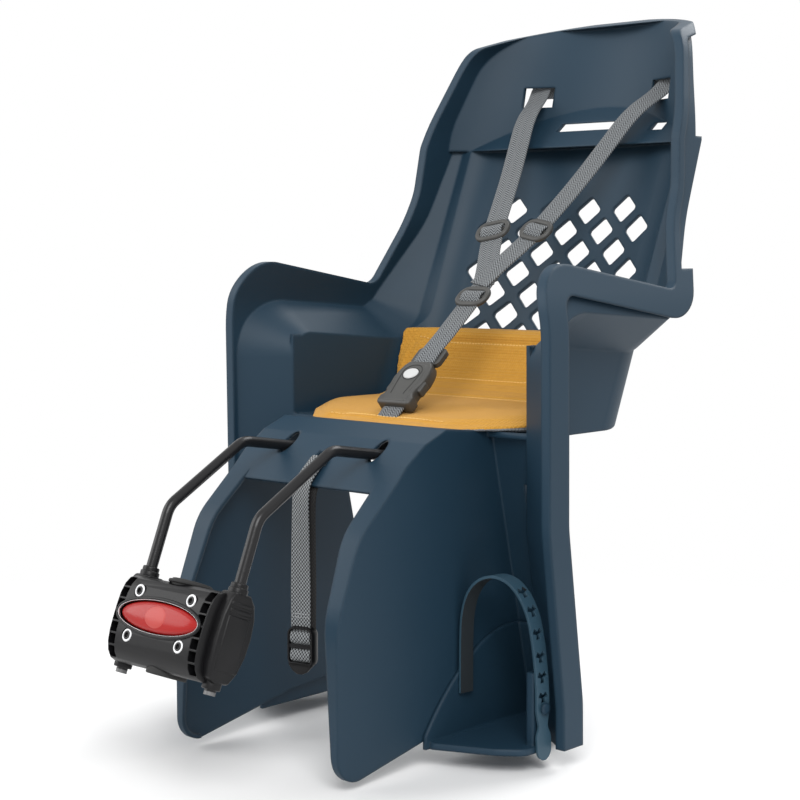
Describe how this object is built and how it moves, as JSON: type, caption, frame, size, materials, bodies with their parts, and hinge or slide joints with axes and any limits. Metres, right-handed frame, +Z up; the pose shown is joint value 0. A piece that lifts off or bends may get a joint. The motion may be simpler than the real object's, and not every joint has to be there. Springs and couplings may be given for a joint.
{
  "type": "child bicycle seat",
  "caption": "Rear child seat for a bicycle: moulded shell with pad, harness, footrests and a bent carrier bar held in a seat-tube block.",
  "frame": {"origin": "centre of the seat-tube clamp", "axes": "+Z up, the seat faces -Y, +X to the child's left"},
  "size_m": [0.414, 0.6829, 0.7059],
  "materials": {
    "shell": "satin moulded",
    "pad": "woven",
    "webbing": "woven",
    "dark_plastic": "satin",
    "button_grey": "satin",
    "foot_rubber": "matte",
    "bar_black": "satin",
    "block_black": "matte",
    "liner": "matte",
    "red": "gloss",
    "steel": "brushed"
  },
  "bodies": {
    "block": {"block_front": "block_black", "block_rear": "block_black", "tube_liner": "liner", "clamp_bolts": "bar_black", "bolt_washers": "steel"},
    "seat": {"shell": "shell", "seat_pad": "pad", "shoulder_strap_left": "webbing", "shoulder_strap_right": "webbing", "centre_strap": "webbing", "back_strap": "webbing", "crotch_strap": "webbing", "frame_strap": "webbing", "shoulder_slider_left": "dark_plastic", "shoulder_slider_right": "dark_plastic", "lower_slider": "dark_plastic", "buckle_tongue": "dark_plastic", "buckle_housing": "dark_plastic", "ladder_lock": "block_black", "carrier_bar": "bar_black", "bar_plugs": "steel", "bar_bracket": "block_black", "bracket_screws": "steel"},
    "release_button": {"release_button": "red"},
    "buckle_button": {"buckle_button": "button_grey"},
    "foot_left": {"footrest_left": "shell", "foot_strap_left": "foot_rubber"},
    "foot_right": {"footrest_right": "shell", "foot_strap_right": "foot_rubber"}
  },
  "joints": [
    {"name": "seat_lift", "type": "slide", "parent": "block", "child": "seat", "axis": [0, 0.3778, 0.9259], "range_m": [0, 0.11]},
    {"name": "release_press", "type": "slide", "parent": "block", "child": "release_button", "axis": [0, 0.9259, -0.3778], "range_m": [0, 0.003], "stiffness_N_per_m": 800},
    {"name": "buckle_press", "type": "slide", "parent": "seat", "child": "buckle_button", "axis": [0, 0.6537, -0.7567], "range_m": [0, 0.002], "stiffness_N_per_m": 800},
    {"name": "footrest_left_height", "type": "slide", "parent": "seat", "child": "foot_left", "axis": [0, -0.2258, 0.9742], "range_m": [0, 0.084]},
    {"name": "footrest_right_height", "type": "slide", "parent": "seat", "child": "foot_right", "axis": [0, -0.2258, 0.9742], "range_m": [0, 0.084]}
  ]
}
